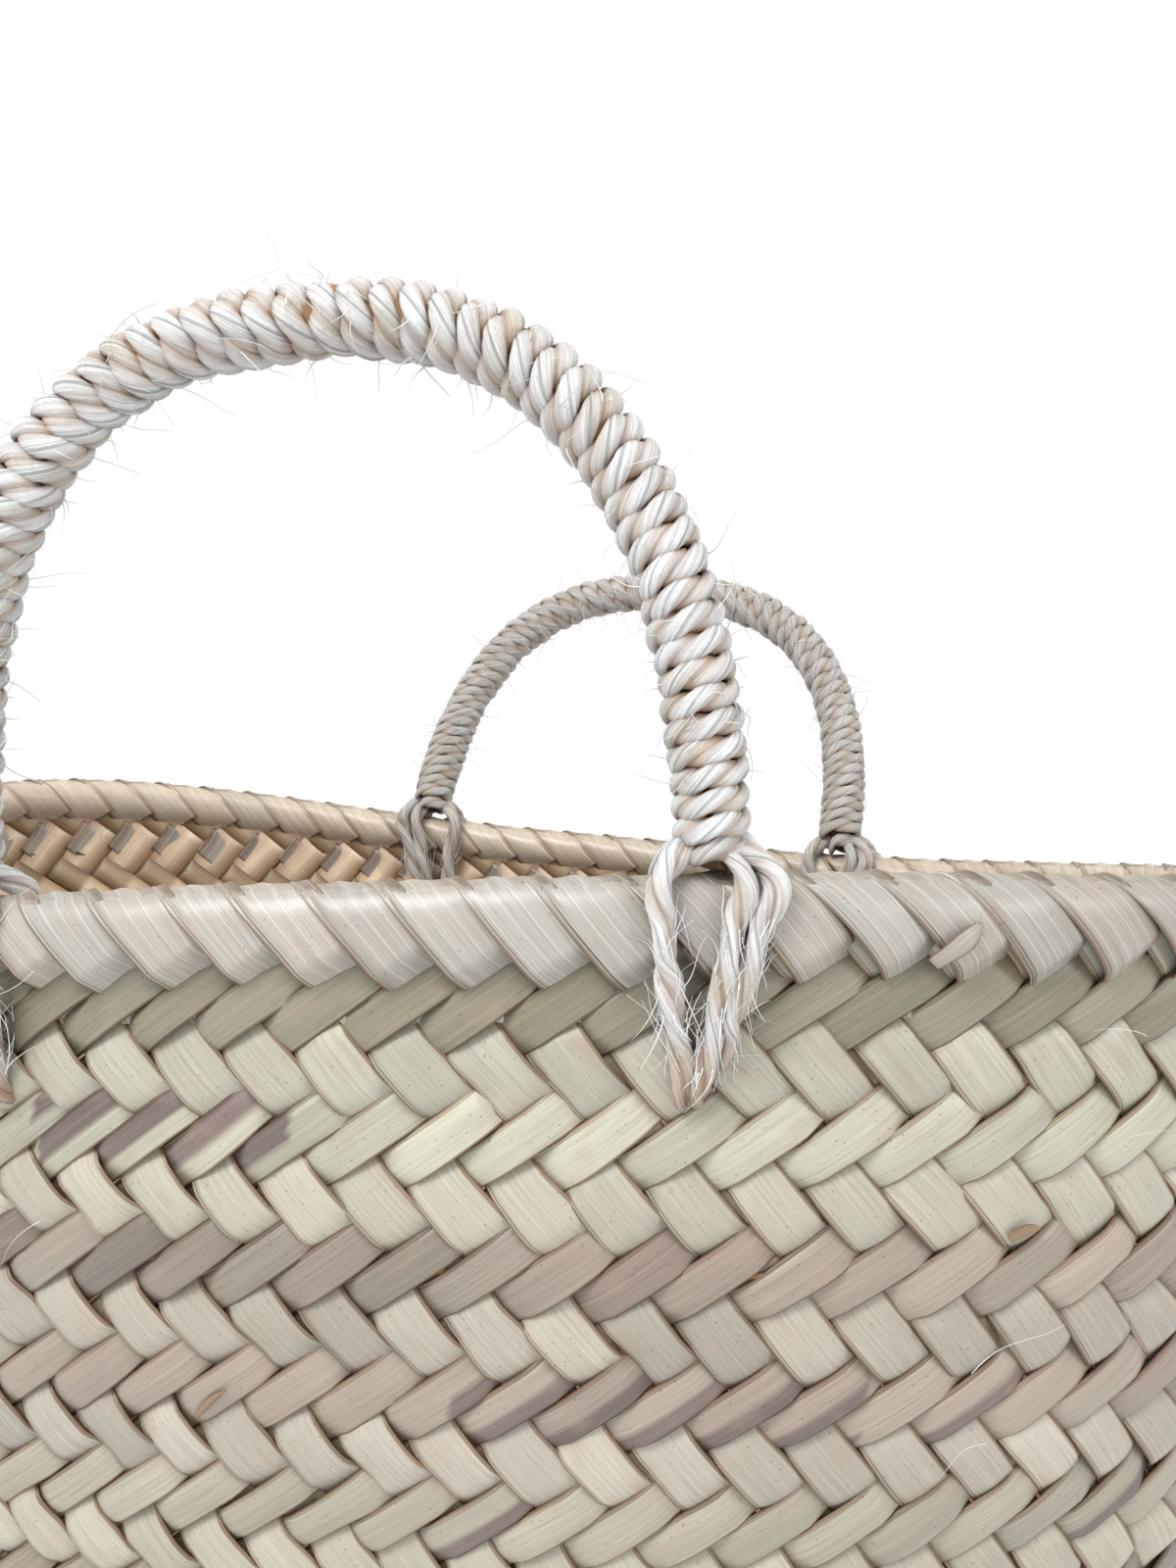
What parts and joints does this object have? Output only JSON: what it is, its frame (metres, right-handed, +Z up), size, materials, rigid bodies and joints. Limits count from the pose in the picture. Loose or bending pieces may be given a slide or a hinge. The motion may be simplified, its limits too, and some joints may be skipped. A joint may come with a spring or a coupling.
{
  "type": "woven market basket",
  "caption": "Oval open basket of plaited palm leaf with a folded-leaf rim and cord-wrapped rope handles that swing on lashed feet.",
  "frame": {"origin": "middle of the base's underside, on the floor", "axes": "+X along the rim's long way, +Y from the front (near) side to the back, +Z up"},
  "size_m": [0.4902, 0.3504, 0.3893],
  "materials": {
    "palm_leaf": "dry plaited palm leaf, satin",
    "rim_leaf": "smooth folded palm leaf, satin",
    "seam_cord": "twisted leaf fibre, matte",
    "core_rope": "coarse fibre rope, matte",
    "sisal_cord": "twisted sisal, silky and a little hairy"
  },
  "bodies": {
    "basket": {"base_plait": "palm_leaf", "wall_course_lower": "palm_leaf", "wall_course_middle": "palm_leaf", "wall_course_upper": "palm_leaf", "base_seam_cord": "seam_cord", "seam_cord_lower": "seam_cord", "seam_cord_upper": "seam_cord", "rim_core_rope": "core_rope", "rim_leaf_wrap": "rim_leaf", "front_left_lashing_inner": "sisal_cord", "front_left_lashing_middle": "sisal_cord", "front_left_lashing_outer": "sisal_cord", "front_right_lashing_inner": "sisal_cord", "front_right_lashing_middle": "sisal_cord", "front_right_lashing_outer": "sisal_cord", "back_left_lashing_inner": "sisal_cord", "back_left_lashing_middle": "sisal_cord", "back_left_lashing_outer": "sisal_cord", "back_right_lashing_inner": "sisal_cord", "back_right_lashing_middle": "sisal_cord", "back_right_lashing_outer": "sisal_cord"},
    "front_handle": {"front_handle_cord_wrap": "sisal_cord", "front_handle_core_rope": "core_rope"},
    "back_handle": {"back_handle_cord_wrap": "sisal_cord", "back_handle_core_rope": "core_rope"}
  },
  "joints": [
    {"name": "front_handle_hinge", "type": "hinge", "parent": "basket", "child": "front_handle", "pos_m": [0, -0.13409, 0.26365], "axis": [0.9984, 0, 0.0565], "range_deg": [-60, 75]},
    {"name": "back_handle_hinge", "type": "hinge", "parent": "basket", "child": "back_handle", "pos_m": [0.028, 0.13302, 0.25695], "axis": [0.9962, -0.0536, -0.0679], "range_deg": [-44, 91]}
  ]
}
